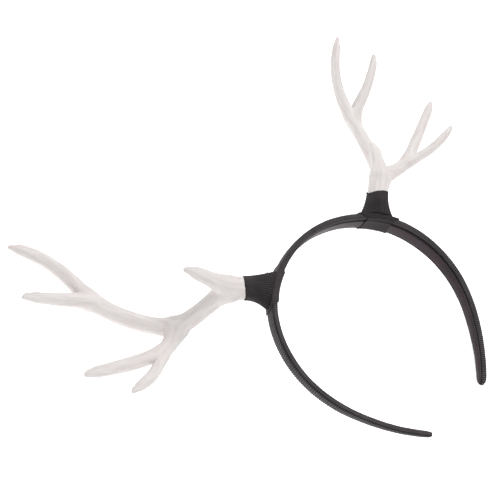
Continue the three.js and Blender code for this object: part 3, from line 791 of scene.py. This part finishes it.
def addNode(tree, kind, settings=None, sockets=None, links=None):
    node = tree.nodes.new(kind)
    for label, value in (settings or {}).items():
        setattr(node, label, value)
    for label, value in (sockets or {}).items():
        node.inputs[label].default_value = value
    for label, output in (links or {}).items():
        tree.links.new(output, node.inputs[label])
    return node


def newMaterial(name, look):
    material = bpy.data.materials.new(name)
    material.use_nodes = True
    tree = material.node_tree
    tree.nodes.clear()
    shader = addNode(tree, "ShaderNodeBsdfPrincipled", sockets=look)
    addNode(tree, "ShaderNodeOutputMaterial", links={"Surface": shader.outputs["BSDF"]})
    return material, tree, shader


plasticLook = {
    "shader": {
        "Roughness": 0.62, "IOR": 1.53, "Specular IOR Level": 0.35,
        "Subsurface Weight": 0.12, "Subsurface Scale": 0.002, "Subsurface Radius": (1.0, 0.8, 0.7),
    },
    "streakSize": (1.25, 12.5), "mottleSize": (6.25, 14.2857), "scuffSize": 0.7692,  # mm across, along
    "tones": [(0.30, "c9c3c1"), (0.62, "d7d2d0")],
    "pink": "c9bcb9", "fork": "c0b2ad", "forkShare": 0.22, "scuff": "b89f88",
}


def mouldedPlastic():
    # soft PVC moulded in bone white and left matt: the light spreads wide and a lengthwise grain shows
    material, tree, shader = newMaterial("moulded_pvc", plasticLook["shader"])
    grain = addNode(tree, "ShaderNodeAttribute", {"attribute_name": "grain"})
    fork = addNode(tree, "ShaderNodeAttribute", {"attribute_name": "fork"})
    tip = addNode(tree, "ShaderNodeAttribute", {"attribute_name": "tipPlace"})
    # fine streaks along the branches
    width, length = plasticLook["streakSize"]
    streakPlace = addNode(tree, "ShaderNodeMapping", sockets={"Scale": (1 / width, 1 / width, 1 / length)},
                          links={"Vector": grain.outputs["Vector"]})
    streaks = addNode(tree, "ShaderNodeTexNoise", sockets={"Scale": 1.0, "Detail": 3.0, "Roughness": 0.55},
                      links={"Vector": streakPlace.outputs["Vector"]})
    base = addNode(tree, "ShaderNodeValToRGB", links={"Fac": streaks.outputs["Fac"]})
    for element, (position, colour) in zip(base.color_ramp.elements, plasticLook["tones"]):
        element.position = position
        element.color = linear(colour)
    # broad, faint pink blushes
    width, length = plasticLook["mottleSize"]
    mottlePlace = addNode(tree, "ShaderNodeMapping", sockets={"Scale": (1 / width, 1 / width, 1 / length)},
                          links={"Vector": grain.outputs["Vector"]})
    mottle = addNode(tree, "ShaderNodeTexNoise", sockets={"Scale": 1.0, "Detail": 2.0},
                     links={"Vector": mottlePlace.outputs["Vector"]})
    blush = addNode(tree, "ShaderNodeMapRange", sockets={"From Min": 0.48, "From Max": 0.75, "To Max": 0.4},
                    links={"Value": mottle.outputs["Fac"]})
    pink = addNode(tree, "ShaderNodeMix", {"data_type": "RGBA"}, {"B": linear(plasticLook["pink"])},
                   {"Factor": blush.outputs["Result"], "A": base.outputs["Color"]})
    # painted shade: the filled forks are a little darker
    forkShadeAmount = addNode(tree, "ShaderNodeMath", {"operation": "MULTIPLY"}, {1: plasticLook["forkShare"]},
                     {0: fork.outputs["Fac"]})
    shaded = addNode(tree, "ShaderNodeMix", {"data_type": "RGBA"}, {"B": linear(plasticLook["fork"])},
                     {"Factor": forkShadeAmount.outputs["Value"], "A": pink.outputs["Result"]})
    # small tan scuffs on the last 14 mm of the top tine
    flecks = addNode(tree, "ShaderNodeTexNoise",
                     sockets={"Scale": 1 / plasticLook["scuffSize"], "Detail": 2.0},
                     links={"Vector": grain.outputs["Vector"]})
    fleck = addNode(tree, "ShaderNodeMapRange", sockets={"From Min": 0.60, "From Max": 0.68, "To Max": 0.5},
                    links={"Value": flecks.outputs["Fac"]})
    near = addNode(tree, "ShaderNodeMapRange", sockets={"From Min": 14.0, "From Max": 4.0, "To Max": 1.0},
                   links={"Value": tip.outputs["Fac"]})
    amount = addNode(tree, "ShaderNodeMath", {"operation": "MULTIPLY"},
                     links={0: fleck.outputs["Result"], 1: near.outputs["Result"]})
    worn = addNode(tree, "ShaderNodeMix", {"data_type": "RGBA"}, {"B": linear(plasticLook["scuff"])},
                   {"Factor": amount.outputs["Value"], "A": shaded.outputs["Result"]})
    tree.links.new(worn.outputs["Result"], shader.inputs["Base Color"])
    bump = addNode(tree, "ShaderNodeBump", sockets={"Strength": 0.22, "Distance": 0.0003},
                   links={"Height": streaks.outputs["Fac"]})
    tree.links.new(bump.outputs["Normal"], shader.inputs["Normal"])
    return material


ribbonLook = {
    "Roughness": 0.72, "IOR": 1.5, "Specular IOR Level": 0.25, "Sheen Weight": 0.04, "Sheen Roughness": 0.5,
}
satinLook = {
    "Roughness": 0.5, "IOR": 1.5, "Specular IOR Level": 0.4, "Sheen Weight": 0.06, "Sheen Roughness": 0.4,
}
patchSize = (11.111, 4.5455, 5.0)  # mm along, across and out of the cloth


def wovenRibbon(name, dark, light, grooveColour, look, threadSize, cutShadeColour=None):
    # woven polyester: the thread ends scatter light, so it is matt with a thin sheen at grazing angles
    # the threads are drawn thicker than they are, so that they show
    material, tree, shader = newMaterial(name, look)
    weave = addNode(tree, "ShaderNodeAttribute", {"attribute_name": "weave"})
    threadPlace = addNode(tree, "ShaderNodeMapping", sockets={"Scale": (1 / threadSize,) * 3},
                          links={"Vector": weave.outputs["Vector"]})
    threads = addNode(tree, "ShaderNodeTexNoise", sockets={"Scale": 1.0, "Detail": 3.0, "Roughness": 0.6},
                      links={"Vector": threadPlace.outputs["Vector"]})
    patchPlace = addNode(tree, "ShaderNodeMapping", sockets={"Scale": tuple(1 / size for size in patchSize)},
                         links={"Vector": weave.outputs["Vector"]})
    patches = addNode(tree, "ShaderNodeTexNoise", sockets={"Scale": 1.0, "Detail": 2.0},
                      links={"Vector": patchPlace.outputs["Vector"]})
    both = addNode(tree, "ShaderNodeMath", {"operation": "ADD"},
                   links={0: threads.outputs["Fac"], 1: patches.outputs["Fac"]})
    average = addNode(tree, "ShaderNodeMath", {"operation": "MULTIPLY"}, {1: 0.5}, {0: both.outputs["Value"]})
    tone = addNode(tree, "ShaderNodeValToRGB", links={"Fac": average.outputs["Value"]})
    for element, position, colour in zip(tone.color_ramp.elements, (0.36, 0.64), (dark, light)):
        element.position = position
        element.color = linear(colour)
    # little light reaches into the grooves between the ribs
    rib = addNode(tree, "ShaderNodeAttribute", {"attribute_name": "rib"})
    depth = addNode(tree, "ShaderNodeMapRange", sockets={"From Min": 0.9, "From Max": 0.2, "To Max": 1.0},
                    links={"Value": rib.outputs["Fac"]})
    groove = addNode(tree, "ShaderNodeMix", {"data_type": "RGBA"}, {"B": linear(grooveColour)},
                     {"Factor": depth.outputs["Result"], "A": tone.outputs["Color"]})
    colour = groove.outputs["Result"]
    if cutShadeColour:
        # and painted shade on the cut and folded edge of the sleeve's mouth and inside the sleeve
        cut = addNode(tree, "ShaderNodeAttribute", {"attribute_name": "cutEdgeShade"})
        edge = addNode(tree, "ShaderNodeMix", {"data_type": "RGBA"}, {"B": linear(cutShadeColour)},
                       {"Factor": cut.outputs["Fac"], "A": colour})
        colour = edge.outputs["Result"]
    tree.links.new(colour, shader.inputs["Base Color"])
    bump = addNode(tree, "ShaderNodeBump", sockets={"Strength": 0.4, "Distance": 0.00015},
                   links={"Height": threads.outputs["Fac"]})
    tree.links.new(bump.outputs["Normal"], shader.inputs["Normal"])
    return material


antlerPlastic = mouldedPlastic()
grosgrain = wovenRibbon("polyester_grosgrain", "3d393a", "5a5456", "040404", ribbonLook, 0.5)
satin = wovenRibbon("woven_satin", "1c1016", "32212a", "040304", satinLook, 0.7)
wrapRibbon = wovenRibbon("wound_ribbon", "272224", "363032", "050404", ribbonLook, 0.5)
sleeveRibbon = wovenRibbon("sleeve_grosgrain", "262123", "383234", "060505", ribbonLook, 0.5, "0d0c0d")
print("materials made")


def standIn(obj, slotName, *nodes):
    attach(obj, "root")
    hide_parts(*nodes)


standIn(makeHoop(grosgrain), "hoop_ribbon", "hoop")
standIn(makeLining(satin), "lining_satin", "hoop_lining")
print("hoop and lining made")
for side in ("left", "right"):
    mirror = antlerShape["set"][side]["mirror"]
    standIn(makeWrap(side, mirror * antlerPlace, wrapRibbon), "wrap_ribbon", "band_wrap_" + side)
    for piece in makeSleeve(side, sleeveRibbon):
        standIn(piece, "sleeve_ribbon", "socket_" + side)
    standIn(makeAntler(side, antlerPlastic), "antler_plastic", "antler_" + side)
    print("antler, sleeve and wrap made:", side)


# Stage, in metres

stageLook = {
    "floorSize": 30.0, "floorColour": "f7f7f6", "floorGlow": 0.7, "world": 0.55,
    "lights": {  # place, diameter, power
        "key": ((0.45, 0.15, 0.9), 0.7, 7.0),
        "fill": ((-0.7, -0.3, 0.8), 0.9, 3.0),
    },
}


def areaLight(name, spot, size, power):
    # a round soft light aimed at the middle of the floor
    data = bpy.data.lights.new(name, "AREA")
    data.shape = "DISK"
    data.size = size
    data.energy = power
    light = bpy.data.objects.new(name, data)
    bpy.context.scene.collection.objects.link(light)
    light.location = spot
    light.rotation_mode = "QUATERNION"
    light.rotation_quaternion = (-Vector(spot)).to_track_quat("-Z", "Y")


half = stageLook["floorSize"] / 2
floorPoints = np.array([(-half, -half, 0), (half, -half, 0), (half, half, 0), (-half, half, 0)])
# a sheet of acrylic that glows with painted light, so the shadows on it stay pale
floorMaterial = newMaterial("glowing_acrylic", {
    "Roughness": 0.9, "Specular IOR Level": 0.1, "Base Color": linear(stageLook["floorColour"]),
    "Emission Color": linear("ffffff"), "Emission Strength": stageLook["floorGlow"],
})[0]
floor = meshObject("floor", floorPoints, [(0, 1, 2, 3)], floorMaterial)

for name, (spot, size, power) in stageLook["lights"].items():
    areaLight(name, spot, size, power)
world = bpy.data.worlds.new("studio")
world.use_nodes = True
world.node_tree.nodes["Background"].inputs["Color"].default_value = linear("ffffff")
world.node_tree.nodes["Background"].inputs["Strength"].default_value = stageLook["world"]
bpy.context.scene.world = world
bpy.context.scene.view_settings.view_transform = "Standard"

# Camera at the photograph's angle to the headband
cameraPlace = (-0.30472, -0.11594, 0.36624)
cameraTurn = (0.880291, 0.257035, -0.242609, -0.316484)
viewAngle = 31.048
cameraData = bpy.data.cameras.new("camera")
cameraData.sensor_fit = "HORIZONTAL"
cameraData.angle = math.radians(viewAngle)
camera = bpy.data.objects.new("camera", cameraData)
camera.location = cameraPlace
camera.rotation_mode = "QUATERNION"
camera.rotation_quaternion = cameraTurn
bpy.context.scene.collection.objects.link(camera)
bpy.context.scene.camera = camera
print("stage set")
